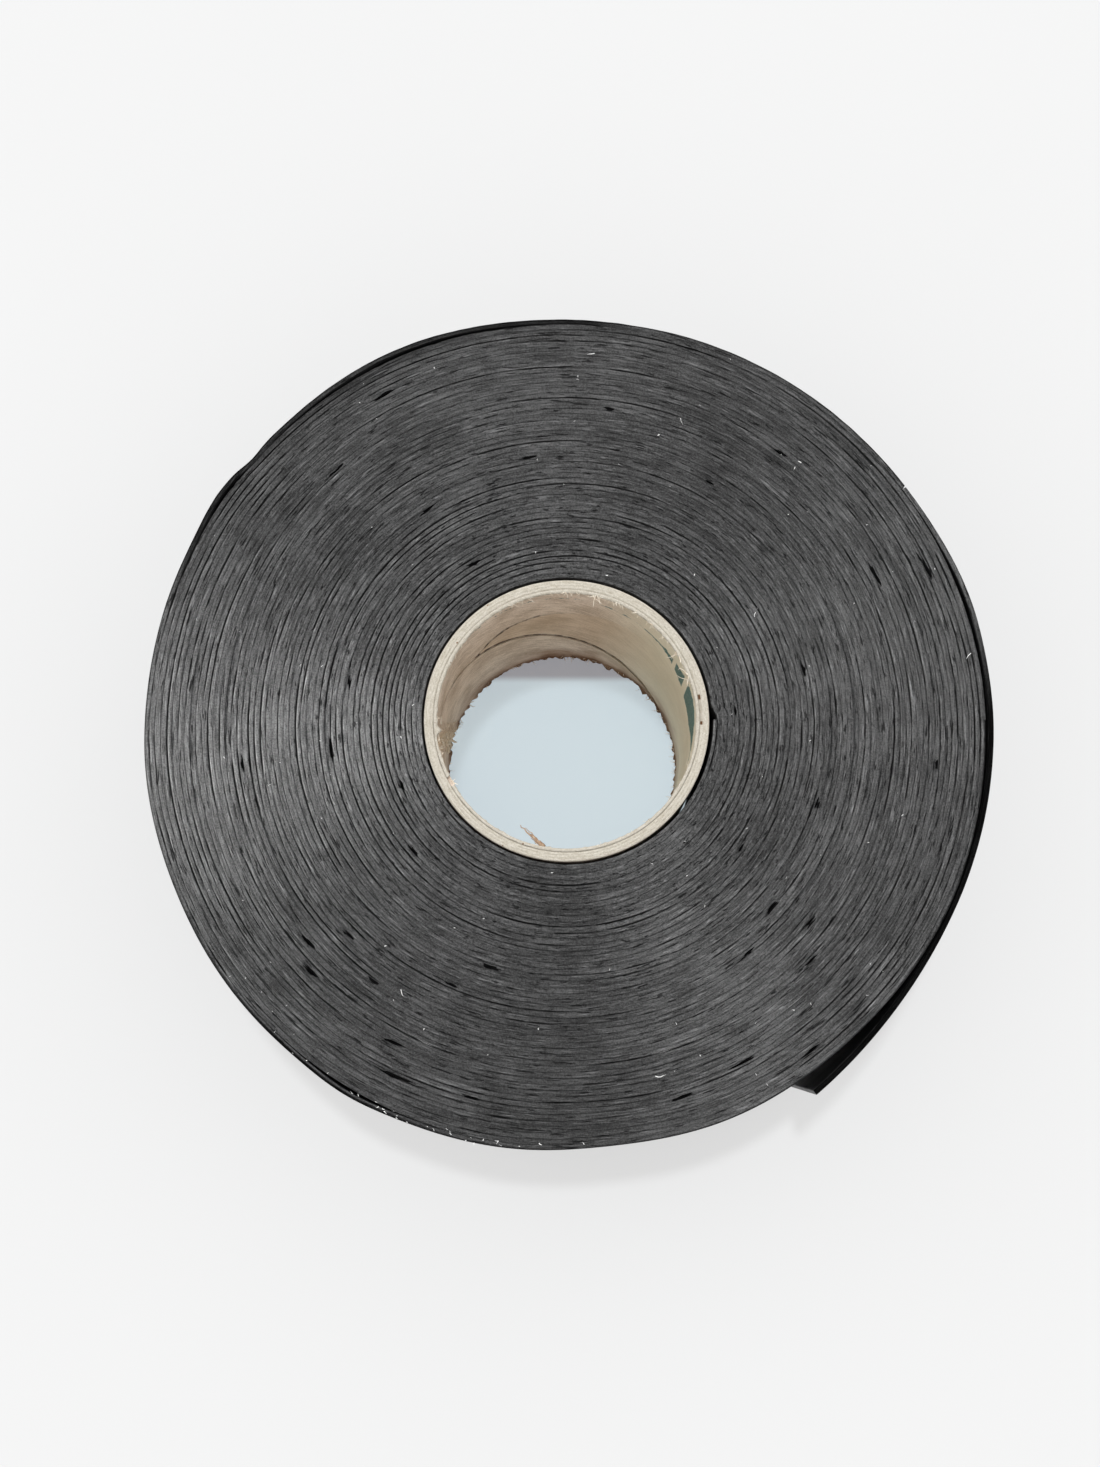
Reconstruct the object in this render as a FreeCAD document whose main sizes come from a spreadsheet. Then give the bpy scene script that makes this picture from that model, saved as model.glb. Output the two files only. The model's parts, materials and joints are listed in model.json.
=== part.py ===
"""A roll of thick black electrical tape on a spiral-wound paper core, lying on its flat side.

Millimetres and degrees, +Z up. The origin is on the bore's axis, in the plane that the roll rests on.
The tape is one strip, wound clockwise as seen from above. Its path is a two-centre spiral: half-turns on
the -Y side are centred on the axis and those on the +Y side half a pitch along +X, so that each half-turn
meets the next one smoothly on the X axis and has a radius half a pitch larger.
Angles named "bearing" are clockwise from +X, the way the tape runs from the core to its free end.
"""

import FreeCAD, Part
import os
import Sketcher

FOLDER = "parts"
FAILED_STATES = {"Invalid", "Error"}

SIZES = {
    # core
    "bore_radius": 19.05,
    "ply_count": 4,
    "ply_thickness": 0.47,
    "seam_lead": 95.0,  # climb of a ply's helical butt seam in one turn
    "seam_gap": 0.3,
    "seam_bearing": -24.0,  # where the innermost ply's seam starts, below the lower rim
    "seam_stagger": -101.0,  # from one ply's seam to the next ply's
    "seam_overrun": 1.0,  # the seam's cutter passes both rims by this much
    # tape
    "tape_width": 48.0,
    "backing_thickness": 0.61,
    "adhesive_thickness": 0.15,
    "adhesive_recess": 0.15,  # the slit edge of the adhesive stands back from that of the backing
    "winding_pitch": 0.853,
    "core_glue_line": 0.05,
    "turn_count": 48,
    "turns_per_band": 8,
    # loose tail
    "tail_root": 23.0,  # the tail starts this far short of a full last turn
    "lift_start": 25.2,  # bearing where the tail leaves the roll's curve
    "lift_radius": 81.0,  # inner radius of the lifted stretch
    "lift_span": 24.6,
    "segments_per_stretch": 2,
    "bend_gap": 0.3,  # angle left open between two segments of the tail
    "end_slant": 2.2,  # the free end's cut is out of square by this much
}

CORE_RADIUS = "(Sizes.bore_radius + Sizes.ply_count * Sizes.ply_thickness)"
WINDING_START = f"({CORE_RADIUS} + Sizes.core_glue_line)"
TAPE_LAYERS = {
    # name: (distance of its inner face from the tape's inner face, thickness, setback of its edges)
    "adhesive": ("0", "Sizes.adhesive_thickness", "Sizes.adhesive_recess"),
    "backing": ("Sizes.adhesive_thickness", "Sizes.backing_thickness", "0"),
}
ORIGIN = (-1, 1)  # the sketch's own origin, as (geometry, point)
X_AXIS = -1
START, END, CENTRE = 1, 2, 3  # points of an arc, which runs counter-clockwise


def make_sheet(doc):
    """The driving dimensions, one row each: the name, and a cell with that alias."""
    sheet = doc.addObject("Spreadsheet::Sheet", "Sizes")
    for row, (alias, value) in enumerate(SIZES.items(), start=1):
        sheet.set(f"A{row}", alias)
        sheet.set(f"B{row}", str(value))
        sheet.setAlias(f"B{row}", alias)
    doc.recompute()
    return sheet


def new_body(doc, label):
    body = doc.addObject("PartDesign::Body", label)
    body.Label = label
    return body


def new_sketch(body, role, name):
    """A sketch on one of the body's own origin planes."""
    plane = next(f for f in body.Origin.OriginFeatures if f.Role == role)
    sketch = body.newObject("Sketcher::SketchObject", name)
    sketch.AttachmentSupport = (plane, [""])
    sketch.MapMode = "FlatFace"
    return sketch


def pin(sketch, constraint, name, expression):
    """Adds a dimension to the sketch and drives it from the sheet."""
    index = sketch.addConstraint(constraint)
    sketch.renameConstraint(index, name)
    sketch.setExpression(f"Constraints.{name}", expression)


def join(sketch, first, first_point, second, second_point):
    sketch.addConstraint(Sketcher.Constraint("Coincident", first, first_point, second, second_point))


def on_x_axis(sketch, geometry, point):
    sketch.addConstraint(Sketcher.Constraint("PointOnObject", geometry, point, X_AXIS))


def pad(body, sketch, setback):
    """Raises a tape layer's outline to the tape's width, less the setback of its two edges."""
    sketch.setExpression("AttachmentOffset.Base.z", setback)
    feature = body.newObject("PartDesign::Pad", "Width")
    feature.Profile = sketch
    feature.setExpression("Length", f"Sizes.tape_width - 2 * {setback}")
    return feature


# ---------------------------------------------------------------- paper core


def core_ply(doc, number):
    """One ply of the paper tube, slit along the helical butt seam that its strip leaves."""
    body = new_body(doc, f"core_ply_{number}")
    inner = f"Sizes.bore_radius + {number - 1} * Sizes.ply_thickness"
    outer = f"Sizes.bore_radius + {number} * Sizes.ply_thickness"

    ring = new_sketch(body, "XY_Plane", "Ring")
    for name, expression in (("inner_radius", inner), ("outer_radius", outer)):
        circle = ring.addGeometry(Part.Circle(FreeCAD.Vector(), FreeCAD.Vector(0, 0, 1), 20 + ring.GeometryCount))
        join(ring, circle, CENTRE, *ORIGIN)
        pin(ring, Sketcher.Constraint("Radius", circle, 20.0 + circle), name, expression)
    tube = body.newObject("PartDesign::Pad", "Tube")
    tube.Profile = ring
    tube.setExpression("Length", "Sizes.tape_width")
    doc.recompute()

    slit = new_sketch(body, "XZ_Plane", "SeamSection")
    rectangle(
        slit,
        {
            "left": f"{inner} - Sizes.ply_thickness / 4",
            "bottom": "-Sizes.seam_overrun",
            "wide": "1.5 * Sizes.ply_thickness",
            "high": "Sizes.seam_gap",
        },
    )
    seam = body.newObject("PartDesign::SubtractiveHelix", "Seam")
    seam.Profile = slit
    seam.ReferenceAxis = (slit, ["V_Axis"])
    seam.Mode = "pitch-height-angle"
    seam.setExpression("Pitch", "Sizes.seam_lead")
    seam.setExpression("Height", "Sizes.tape_width + 2 * Sizes.seam_overrun")
    body.Placement = FreeCAD.Placement(FreeCAD.Vector(), FreeCAD.Rotation(FreeCAD.Vector(0, 0, 1), 0))
    body.setExpression(
        "Placement.Rotation.Angle", f"-(Sizes.seam_bearing + {number - 1} * Sizes.seam_stagger) * 1 deg"
    )
    return body


def rectangle(sketch, sizes):
    """A rectangle with its sides along the axes. sizes: expressions for left, bottom, wide and high."""
    corners = [FreeCAD.Vector(*xy, 0) for xy in ((18, -1), (20, -1), (20, 1), (18, 1))]
    sides = [sketch.addGeometry(Part.LineSegment(corners[i], corners[(i + 1) % 4])) for i in range(4)]
    for i, side in enumerate(sides):
        join(sketch, side, END, sides[(i + 1) % 4], START)
        sketch.addConstraint(Sketcher.Constraint("Vertical" if i % 2 else "Horizontal", side))
    corner = (sides[0], START)
    pin(sketch, Sketcher.Constraint("DistanceX", *ORIGIN, *corner, 18.0), "left", sizes["left"])
    pin(sketch, Sketcher.Constraint("DistanceY", *ORIGIN, *corner, -1.0), "bottom", sizes["bottom"])
    pin(sketch, Sketcher.Constraint("DistanceX", *corner, sides[0], END, 2.0), "wide", sizes["wide"])
    pin(sketch, Sketcher.Constraint("DistanceY", sides[1], START, sides[1], END, 2.0), "high", sizes["high"])


# ---------------------------------------------------------------- wound tape


def half_turns(sketch, second_centre, radius, name, expression, count, pitch, last_end):
    """One face of the strip as a chain of half-turns, with only the first radius given. Returns their ids.

    last_end is the angle, counter-clockwise from +X, at which the last half-turn stops.
    """
    chain = []
    for i in range(count):
        near_side = i % 2 == 0
        centre = FreeCAD.Vector(0 if near_side else pitch / 2, 0, 0)
        circle = Part.Circle(centre, FreeCAD.Vector(0, 0, 1), radius + i * pitch / 2)
        stop = last_end if i == count - 1 and not near_side else 0
        low, high = (-180, 0) if near_side else (stop, 180)
        arc = sketch.addGeometry(Part.ArcOfCircle(circle, *(FreeCAD.Units.Quantity(a, FreeCAD.Units.Angle)
                                                            .getValueAs("rad").Value for a in (low, high))))
        join(sketch, arc, CENTRE, *(ORIGIN if near_side else (second_centre, START)))
        if chain:
            join(sketch, chain[-1], START, arc, END)
        else:
            on_x_axis(sketch, arc, END)
        if not stop:
            on_x_axis(sketch, arc, START)
        chain.append(arc)
    pin(sketch, Sketcher.Constraint("Radius", chain[0], radius), name, expression)
    return chain


def wound_strip(doc, label, layer, first_turn, turns, short_by=0):
    """A layer of the tape over some whole turns. short_by is the angle by which the last turn stops early."""
    inset, thickness, setback = TAPE_LAYERS[layer]
    body = new_body(doc, label)
    sketch = new_sketch(body, "XY_Plane", "Path")
    sizes = doc.Sizes
    pitch = sizes.winding_pitch
    inner = f"{WINDING_START} + {first_turn} * Sizes.winding_pitch + {inset}"
    faces = {"inner_face": inner, "outer_face": f"{inner} + {thickness}"}

    second_centre = sketch.addGeometry(Part.Point(FreeCAD.Vector(pitch / 2, 0, 0)), True)
    on_x_axis(sketch, second_centre, START)
    pin(
        sketch,
        Sketcher.Constraint("DistanceX", *ORIGIN, second_centre, START, pitch / 2),
        "centre_offset",
        "Sizes.winding_pitch / 2",
    )
    chains = []
    for name, expression in faces.items():
        radius = sizes.evalExpression(expression)
        chains.append(half_turns(sketch, second_centre, radius, name, expression, 2 * turns, pitch, short_by))
    inner_chain, outer_chain = chains
    for arcs, point in (((inner_chain[0], outer_chain[0]), END), ((inner_chain[-1], outer_chain[-1]), START)):
        ends = [sketch.getPoint(arc, point) for arc in arcs]
        line = sketch.addGeometry(Part.LineSegment(*ends))
        join(sketch, line, START, arcs[0], point)
        join(sketch, line, END, arcs[1], point)
    if short_by:
        sketch.addConstraint(Sketcher.Constraint("PointOnObject", second_centre, START, line))
        pin(sketch, Sketcher.Constraint("Angle", line, 0.0), "stop", "Sizes.tail_root * 1 deg")
    pad(body, sketch, setback)
    return body


# ---------------------------------------------------------------- loose tail


def tail_stretches(sizes):
    """The three stretches of the tail: inner radius, centre x and y, and first and last bearing."""
    last_half = f"({WINDING_START} + (Sizes.turn_count - 0.5) * Sizes.winding_pitch)"
    full_turn = f"({WINDING_START} + Sizes.turn_count * Sizes.winding_pitch)"
    back = f"({full_turn} - Sizes.lift_radius)"
    return [
        (last_half, "Sizes.winding_pitch / 2", "0", "-Sizes.tail_root", "0"),
        (full_turn, "0", "0", "0", "Sizes.lift_start"),
        (
            "Sizes.lift_radius",
            f"{back} * cos(Sizes.lift_start * 1 deg)",
            f"-{back} * sin(Sizes.lift_start * 1 deg)",
            "Sizes.lift_start",
            "(Sizes.lift_start + Sizes.lift_span)",
        ),
    ]


def tail_segment(doc, label, layer, stretch, part, parts, free_end):
    """One segment of a layer of the tail: part of parts in a stretch. Its far end is at angle 0 in the body."""
    inset, thickness, setback = TAPE_LAYERS[layer]
    radius, centre_x, centre_y, first, last = stretch
    inner = f"{radius} + {inset}"
    span = f"({last} - {first}) / {parts} - Sizes.bend_gap"
    body = new_body(doc, label)
    sketch = new_sketch(body, "XY_Plane", "Outline")
    angle = doc.Sizes.evalExpression(span)
    spread = FreeCAD.Rotation(FreeCAD.Vector(0, 0, 1), angle)
    arcs, far_points, root_points = [], [], []
    for name, expression in (("inner_face", inner), ("outer_face", f"{inner} + {thickness}")):
        r = doc.Sizes.evalExpression(expression)
        far = FreeCAD.Vector(r, 0, 0)
        middle = FreeCAD.Rotation(FreeCAD.Vector(0, 0, 1), angle / 2).multVec(far)
        root = spread.multVec(far)
        arc = sketch.addGeometry(Part.ArcOfCircle(far, middle, root))
        join(sketch, arc, CENTRE, *ORIGIN)
        pin(sketch, Sketcher.Constraint("Radius", arc, r), name, expression)
        arcs.append(arc)
        far_points.append(far)
        root_points.append(root)
    far_line = sketch.addGeometry(Part.LineSegment(*far_points))
    root_line = sketch.addGeometry(Part.LineSegment(*root_points))
    for line, point in ((far_line, START), (root_line, END)):
        join(sketch, line, START, arcs[0], point)
        join(sketch, line, END, arcs[1], point)
    for arc in arcs:
        on_x_axis(sketch, arc, START)
    sketch.addConstraint(Sketcher.Constraint("PointOnObject", *ORIGIN, root_line))
    pin(sketch, Sketcher.Constraint("Angle", root_line, spread.Angle), "span", f"({span}) * 1 deg")
    pad(body, sketch, setback)
    if free_end:
        doc.recompute()
        slant_end(body, setback)

    body.Placement = FreeCAD.Placement(FreeCAD.Vector(), FreeCAD.Rotation(FreeCAD.Vector(0, 0, 1), 1))
    far_bearing = f"({first} + ({last} - {first}) * {part} / {parts} - Sizes.bend_gap / 2)"
    body.setExpression("Placement.Base.x", centre_x)
    body.setExpression("Placement.Base.y", centre_y)
    body.setExpression("Placement.Rotation.Angle", f"(360 - {far_bearing}) * 1 deg")
    return body


def slant_end(body, setback):
    """Cuts the free end out of square, so that its lower corner stands back."""
    sketch = new_sketch(body, "YZ_Plane", "SlantedCut")
    low, back, high = FreeCAD.Vector(), FreeCAD.Vector(2, 0, 0), FreeCAD.Vector(0, 40, 0)
    bottom = sketch.addGeometry(Part.LineSegment(low, back))
    cut = sketch.addGeometry(Part.LineSegment(back, high))
    upright = sketch.addGeometry(Part.LineSegment(high, low))
    join(sketch, bottom, END, cut, START)
    join(sketch, cut, END, upright, START)
    join(sketch, upright, END, bottom, START)
    join(sketch, bottom, START, *ORIGIN)
    sketch.addConstraint(Sketcher.Constraint("Horizontal", bottom))
    sketch.addConstraint(Sketcher.Constraint("Vertical", upright))
    pin(sketch, Sketcher.Constraint("DistanceX", *ORIGIN, bottom, END, 2.0), "slant", "Sizes.end_slant")
    pin(sketch, Sketcher.Constraint("DistanceY", *ORIGIN, cut, END, 40.0), "height", "Sizes.tape_width")
    pocket = body.newObject("PartDesign::Pocket", "FreeEnd")
    pocket.Profile = sketch
    pocket.Type = "ThroughAll"
    pocket.Midplane = True
    return pocket


# ---------------------------------------------------------------- the roll


def build(doc):
    """Every sub-part of the roll, as document objects."""
    sizes = make_sheet(doc)
    pieces = [core_ply(doc, number) for number in range(1, int(sizes.ply_count) + 1)]

    turns, per_band = int(sizes.turn_count), int(sizes.turns_per_band)
    for first in range(0, turns - 1, per_band):
        last = min(first + per_band, turns - 1)
        for layer in TAPE_LAYERS:
            label = f"{layer}_turns_{first + 1:02d}_{last:02d}"
            pieces.append(wound_strip(doc, label, layer, first, last - first))
    for layer in TAPE_LAYERS:
        pieces.append(wound_strip(doc, f"{layer}_outer_wrap", layer, turns - 1, 1, sizes.tail_root))

    parts = int(sizes.segments_per_stretch)
    stretches = tail_stretches(sizes)
    for s, stretch in enumerate(stretches):
        for part in range(1, parts + 1):
            number = s * parts + part
            for layer in TAPE_LAYERS:
                free_end = number == parts * len(stretches)
                pieces.append(
                    tail_segment(doc, f"{layer}_tail_{number}", layer, stretch, part, parts, free_end)
                )
    return pieces


def check(doc, pieces):
    """Stops unless every object recomputed and every sub-part is one valid solid."""
    for item in doc.Objects:
        failed = FAILED_STATES.intersection(item.State)
        if failed:
            raise RuntimeError(f"{item.Label} is {failed}: {item.getStatusString()}")
    for piece in pieces:
        shape = piece.Shape
        if shape.isNull() or not shape.isValid() or len(shape.Solids) != 1:
            raise RuntimeError(f"{piece.Label} is not one valid solid")


def main():
    doc = FreeCAD.newDocument("tape_roll")
    pieces = build(doc)
    doc.recompute()
    check(doc, pieces)
    os.makedirs(FOLDER, exist_ok=True)
    for piece in pieces:
        piece.Shape.exportStep(os.path.join(FOLDER, piece.Label + ".step"))
        print(f"{piece.Label}: {piece.Shape.Volume:.1f} mm3")


main()
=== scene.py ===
"""Looks of the tape roll: wound black rubber tape with a loose end, on a spiral-wound paper core.

Lengths are in millimetres until a mesh is made. A bearing is an angle in degrees, clockwise from +X as seen
from above, which is the way the tape runs from the core to its free end.
"""

import json
import math

import bpy
import numpy as np
from mathutils import Matrix, Vector


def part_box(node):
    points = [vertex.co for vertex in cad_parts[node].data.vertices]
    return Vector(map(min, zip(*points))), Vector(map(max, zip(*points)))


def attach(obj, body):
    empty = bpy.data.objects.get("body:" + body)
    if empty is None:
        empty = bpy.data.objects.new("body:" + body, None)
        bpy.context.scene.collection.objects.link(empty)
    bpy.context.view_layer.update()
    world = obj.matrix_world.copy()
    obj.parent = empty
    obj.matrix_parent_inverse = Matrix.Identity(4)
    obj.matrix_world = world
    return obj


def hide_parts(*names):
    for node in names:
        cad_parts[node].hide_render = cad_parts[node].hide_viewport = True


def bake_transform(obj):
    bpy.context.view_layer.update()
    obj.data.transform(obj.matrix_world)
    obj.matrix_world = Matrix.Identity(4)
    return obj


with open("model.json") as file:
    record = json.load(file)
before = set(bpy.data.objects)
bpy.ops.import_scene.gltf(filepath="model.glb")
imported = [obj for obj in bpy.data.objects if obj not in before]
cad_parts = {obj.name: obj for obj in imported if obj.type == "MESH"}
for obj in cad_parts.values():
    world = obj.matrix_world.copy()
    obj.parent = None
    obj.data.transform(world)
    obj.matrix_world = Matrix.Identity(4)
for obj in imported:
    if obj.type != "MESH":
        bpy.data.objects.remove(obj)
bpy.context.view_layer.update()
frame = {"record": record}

MM = 0.001
RECORD = frame["record"]
MOUNTS = {m["name"]: m for m in RECORD["mounts"]}
BORE = MOUNTS["bore"]["dims"]["r_mm"]
WIDTH = MOUNTS["bore"]["dims"]["length_mm"]
CORE = (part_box("core_ply_4")[1].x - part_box("core_ply_4")[0].x) / 2 / MM
PLY = (CORE - BORE) / 4

# The tape's path, as in the CAD: a two-centre spiral, then a tail that leaves it on a wider arc.
PITCH = 0.853
TAPE = 0.76
GLUE_LINE = 0.05
TURNS = 48
TURNS_PER_BAND = 8
START = CORE + GLUE_LINE
ROLL = START + TURNS * PITCH
TAIL_ROOT = -23.0
LIFT_START, LIFT_RADIUS, LIFT_SPAN = 25.2, 81.0, 24.6
SEGMENTS = 6

# The inner ply's seam climbs SEAM_LEAD in a turn, counter-clockwise, and is at SEAM_TURN at SEAM_HEIGHT.
SEAM_LEAD, SEAM_TURN, SEAM_HEIGHT = 95.0, 95.0, 18.0
SEAM_CLIMB = SEAM_LEAD / 360.0  # in a degree
FLAP_TURN = 136.5  # where a lifted layer leaves the seam

MIDDLE_RADIUS = 45.0  # where patterns drawn out along the windings have their stated length


def plain_colours():
    """Show colours as they are, with no film curve."""
    settings = bpy.context.scene.view_settings
    settings.view_transform = "Standard"
    settings.look = "None"
    settings.exposure = 0.0
    settings.gamma = 1.0


# -------- numbers


def smooth(x):
    x = np.clip(x, 0.0, 1.0)
    return x * x * (3 - 2 * x)


def bump(x, middle, width):
    return np.exp(-(((x - middle) / width) ** 2))


def near(bearing, middle):
    """Signed difference of two bearings, from -180 to 180."""
    return (bearing - middle + 180.0) % 360.0 - 180.0


class Wave:
    """Smooth noise along a line: values at random knots, joined smoothly. From -1 to 1."""

    def __init__(self, rng, length, step):
        self.step = step
        self.knots = rng.uniform(-1, 1, int(length / step) + 4)

    def __call__(self, x):
        at = np.asarray(x, float) / self.step + 1
        low = np.floor(at).astype(int)
        share = smooth(at - low)
        count = len(self.knots)
        return self.knots[low % count] * (1 - share) + self.knots[(low + 1) % count] * share


# -------- meshes


def new_mesh(name, points, faces, materials, face_material, smooth_faces, attributes):
    """A mesh from points in millimetres. The first smooth_faces of its faces are shaded smooth."""
    mesh = bpy.data.meshes.new(name)
    mesh.from_pydata((points * MM).reshape(-1, 3).tolist(), [], faces)
    for material in materials:
        mesh.materials.append(material)
    mesh.polygons.foreach_set("material_index", face_material.astype(np.int32))
    mesh.polygons.foreach_set("use_smooth", np.arange(len(faces)) < smooth_faces)
    for key, numbers in attributes.items():
        attribute = mesh.attributes.new(key, "FLOAT", "POINT")
        attribute.data.foreach_set("value", np.ascontiguousarray(numbers, np.float32).ravel())
    mesh.update(calc_edges=True)
    return mesh


def ring_quads(count, steps, ring):
    """Quads from each of the first count rings to the next ring, and the column that each quad is in."""
    i, j = np.meshgrid(np.arange(count), np.arange(ring), indexing="ij")
    side, after = (j + 1) % ring, (i + 1) % steps
    corners = [i * ring + j, i * ring + side, after * ring + side, after * ring + j]
    return np.stack(corners, -1).reshape(-1, 4), j.ravel()


def tube_mesh(name, points, materials, face_material, attributes, ladder=False):
    """A closed solid from rings of points: points[i, j] is point j of ring i, in millimetres.

    face_material[j] is the material index of the faces between points j and j + 1 of every ring. With
    ladder, the ends are closed by quads between points j and -1 - j, for a ring that isn't in a plane.
    """
    steps, ring = points.shape[:2]
    coords = points.reshape(-1, 3)
    quads, column = ring_quads(steps - 1, steps, ring)
    first, second, third, fourth = np.moveaxis(coords[quads] - coords.mean(0), 1, 0)
    volume = np.sum(first * (np.cross(second, third) + np.cross(third, fourth)))
    cap = np.arange(ring)[None, :]
    if ladder:
        rung = np.arange(ring // 2 - 1)
        cap = np.stack([rung, rung + 1, ring - 2 - rung, ring - 1 - rung], -1)
    caps = [cap[:, ::-1], cap + (steps - 1) * ring]
    if volume < 0:  # the faces look inwards
        quads = quads[:, ::-1]
        caps = [c[:, ::-1] for c in caps]
    faces = quads.tolist() + caps[0].tolist() + caps[1].tolist()
    index = face_material[column]
    index = np.concatenate([index, np.full(2 * len(cap), index[0])])
    mesh = new_mesh(name, points, faces, materials, index, len(quads), attributes)
    mesh.validate()
    return mesh


def add_object(name, data):
    """A new object for a mesh, light or camera."""
    item = bpy.data.objects.new(name, data)
    bpy.context.scene.collection.objects.link(item)
    return item


def polar(radius, bearing, z):
    """Points from radius, bearing and height arrays of one shape."""
    angle = np.radians(bearing)
    return np.stack(np.broadcast_arrays(radius * np.cos(angle), -radius * np.sin(angle), z), -1)


# -------- shader nodes


class Nodes:
    """Short names for building a node tree."""

    def __init__(self, material):
        self.tree = material.node_tree
        self.tree.nodes.clear()
        self.shader = self.add("ShaderNodeBsdfPrincipled")
        out = self.add("ShaderNodeOutputMaterial")
        self.tree.links.new(self.shader.outputs[0], out.inputs["Surface"])

    def add(self, kind, **settings):
        node = self.tree.nodes.new(kind)
        for name, value in settings.items():
            setattr(node, name, value)
        return node

    def feed(self, socket, value):
        if isinstance(value, bpy.types.NodeSocket):
            self.tree.links.new(value, socket)
        else:
            socket.default_value = value

    def fill(self, node, values):
        """Feed a node's inputs, by their name or number."""
        for key, value in values.items():
            self.feed(node.inputs[key], value)
        return node

    def math(self, operation, *values):
        node = self.add("ShaderNodeMath", operation=operation)
        return self.fill(node, dict(enumerate(values))).outputs[0]

    def plus(self, first, second):
        return self.math("ADD", first, second)

    def minus(self, first, second):
        return self.math("SUBTRACT", first, second)

    def weighted(self, *terms):
        """The sum of value times weight, from pairs of them."""
        total = None
        for value, weight in terms:
            part = self.math("MULTIPLY", value, weight)
            total = part if total is None else self.plus(total, part)
        return total

    def product(self, first, *others):
        for value in others:
            first = self.math("MULTIPLY", first, value)
        return first

    def apart(self, value, middle):
        """Distance between two values."""
        return self.math("ABSOLUTE", self.minus(value, middle))

    def swing(self, noise, size):
        """Noise from 0 to 1, centred on 0 and scaled."""
        return self.product(self.minus(noise, 0.5), size)

    def radius(self, x, y):
        return self.math("SQRT", self.weighted((x, x), (y, y)))

    def turn(self, x, y):
        """Angle counter-clockwise from +X, from -180 to 180 degrees."""
        return self.product(self.math("ARCTAN2", y, x), 180 / math.pi)

    def ramp(self, value, low, high):
        """value mapped smoothly so that low gives 0 and high gives 1."""
        node = self.add("ShaderNodeMapRange", interpolation_type="SMOOTHSTEP")
        return self.fill(node, {"Value": value, "From Min": low, "From Max": high}).outputs["Result"]

    def mix(self, share, first, second, blend="MIX"):
        """Two colours mixed."""
        node = self.add("ShaderNodeMix", data_type="RGBA", blend_type=blend)
        return self.fill(node, {0: share, 6: first, 7: second}).outputs[2]

    def mix_number(self, share, first, second):
        node = self.add("ShaderNodeMix", data_type="FLOAT")
        return self.fill(node, {0: share, 2: first, 3: second}).outputs[0]

    def noise(self, vector, scale, detail=2.0, roughness=0.5):
        node = self.add("ShaderNodeTexNoise")
        values = {"Vector": vector, "Scale": scale, "Detail": detail, "Roughness": roughness}
        return self.fill(node, values).outputs["Fac"]

    def attribute(self, name):
        return self.add("ShaderNodeAttribute", attribute_name=name).outputs["Fac"]

    def place(self):
        """Object coordinates in millimetres: the vector, and x, y, z."""
        scaled = self.add("ShaderNodeVectorMath", operation="SCALE")
        self.fill(scaled, {0: self.add("ShaderNodeTexCoord").outputs["Object"], "Scale": 1 / MM})
        split = self.fill(self.add("ShaderNodeSeparateXYZ"), {0: scaled.outputs[0]})
        return (scaled.outputs[0], *split.outputs)

    def vector(self, x, y, z):
        return self.fill(self.add("ShaderNodeCombineXYZ"), {0: x, 1: y, 2: z}).outputs[0]

    def bump(self, height, distance, strength=1.0):
        """Give the shader relief: distance is in metres."""
        node = self.add("ShaderNodeBump")
        self.fill(node, {"Strength": strength, "Distance": distance, "Height": height})
        self.feed(self.shader.inputs["Normal"], node.outputs[0])

    def surface(self, colour, roughness, specular):
        values = {"Base Color": colour, "Roughness": roughness, "Specular IOR Level": specular}
        self.fill(self.shader, values)


def new_material(name):
    material = bpy.data.materials.new(name)
    material.use_nodes = True
    return material, Nodes(material)


def around(n, x, y, along, across):
    """Coordinates for a pattern drawn out along the windings: along and across are its sizes."""
    radius = n.radius(x, y)
    laps = MIDDLE_RADIUS / along
    first = n.product(n.math("DIVIDE", x, radius), laps)
    second = n.product(n.math("DIVIDE", y, radius), laps)
    return n.vector(first, second, n.math("DIVIDE", radius, across))


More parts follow.
